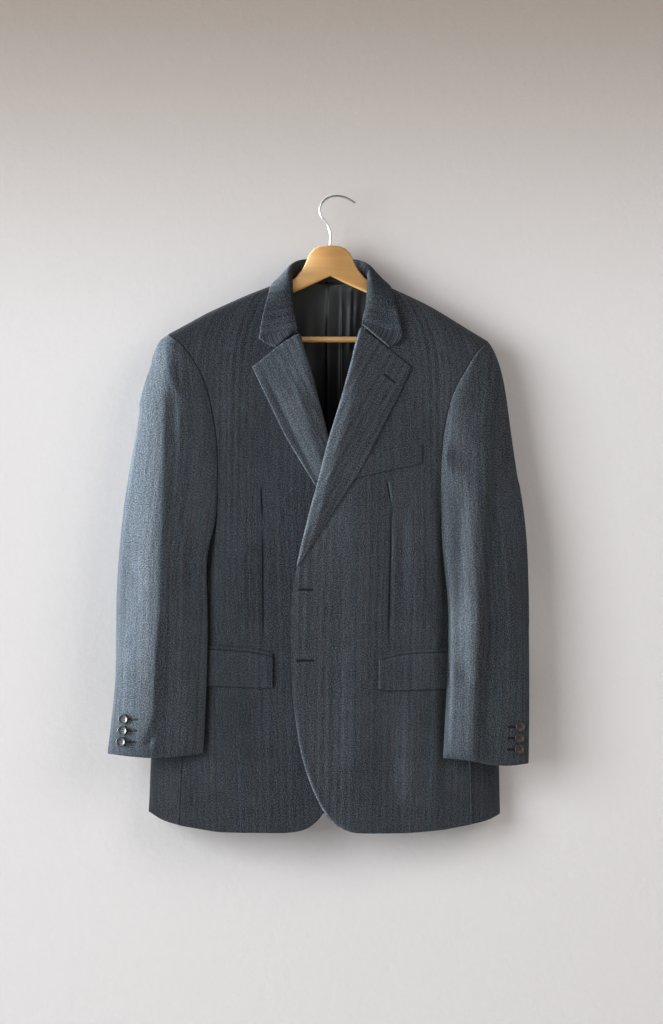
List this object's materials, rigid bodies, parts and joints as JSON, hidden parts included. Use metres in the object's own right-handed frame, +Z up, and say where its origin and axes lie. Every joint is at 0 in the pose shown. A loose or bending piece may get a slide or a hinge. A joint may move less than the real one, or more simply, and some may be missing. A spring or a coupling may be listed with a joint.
{
  "type": "herringbone blazer on a wooden hanger",
  "caption": "Single-breasted wool blazer in a fine herringbone, fronts lapped and unbuttoned, hanging from a contoured wooden hanger with a trouser bar and a wire hook.",
  "frame": {"origin": "underside of the hook's bow, where it rests on its nail, in the shoulder seams' plane", "axes": "+Z up, +X to the right of someone who faces the fronts, +Y towards the wall behind"},
  "size_m": [0.6, 0.1268, 0.9087],
  "materials": {
    "herringbone_wool": "matt woven wool",
    "dark_lining": "soft sheen twill lining",
    "horn_button": "satin",
    "beech": "clear varnish",
    "hook_wire": "bright plated"
  },
  "bodies": {
    "root": {"front_left": "herringbone_wool", "front_right": "herringbone_wool", "side_body_left": "herringbone_wool", "side_body_right": "herringbone_wool", "back_left": "herringbone_wool", "back_right": "herringbone_wool", "top_sleeve_left": "herringbone_wool", "top_sleeve_right": "herringbone_wool", "under_sleeve_left": "herringbone_wool", "under_sleeve_right": "herringbone_wool", "lapel_left": "herringbone_wool", "lapel_right": "herringbone_wool", "collar": "herringbone_wool", "pocket_flap_left": "herringbone_wool", "pocket_flap_right": "herringbone_wool", "pocket_jet_left": "herringbone_wool", "pocket_jet_right": "herringbone_wool", "breast_welt": "herringbone_wool", "back_lining": "dark_lining", "cuff_button_left_1": "horn_button", "cuff_button_left_2": "horn_button", "cuff_button_left_3": "horn_button", "cuff_button_right_1": "horn_button", "cuff_button_right_2": "horn_button", "cuff_button_right_3": "horn_button", "front_button_1": "horn_button", "front_button_2": "horn_button", "hanger_board": "beech", "trouser_bar": "beech", "hook": "hook_wire"}
  },
  "joints": []
}
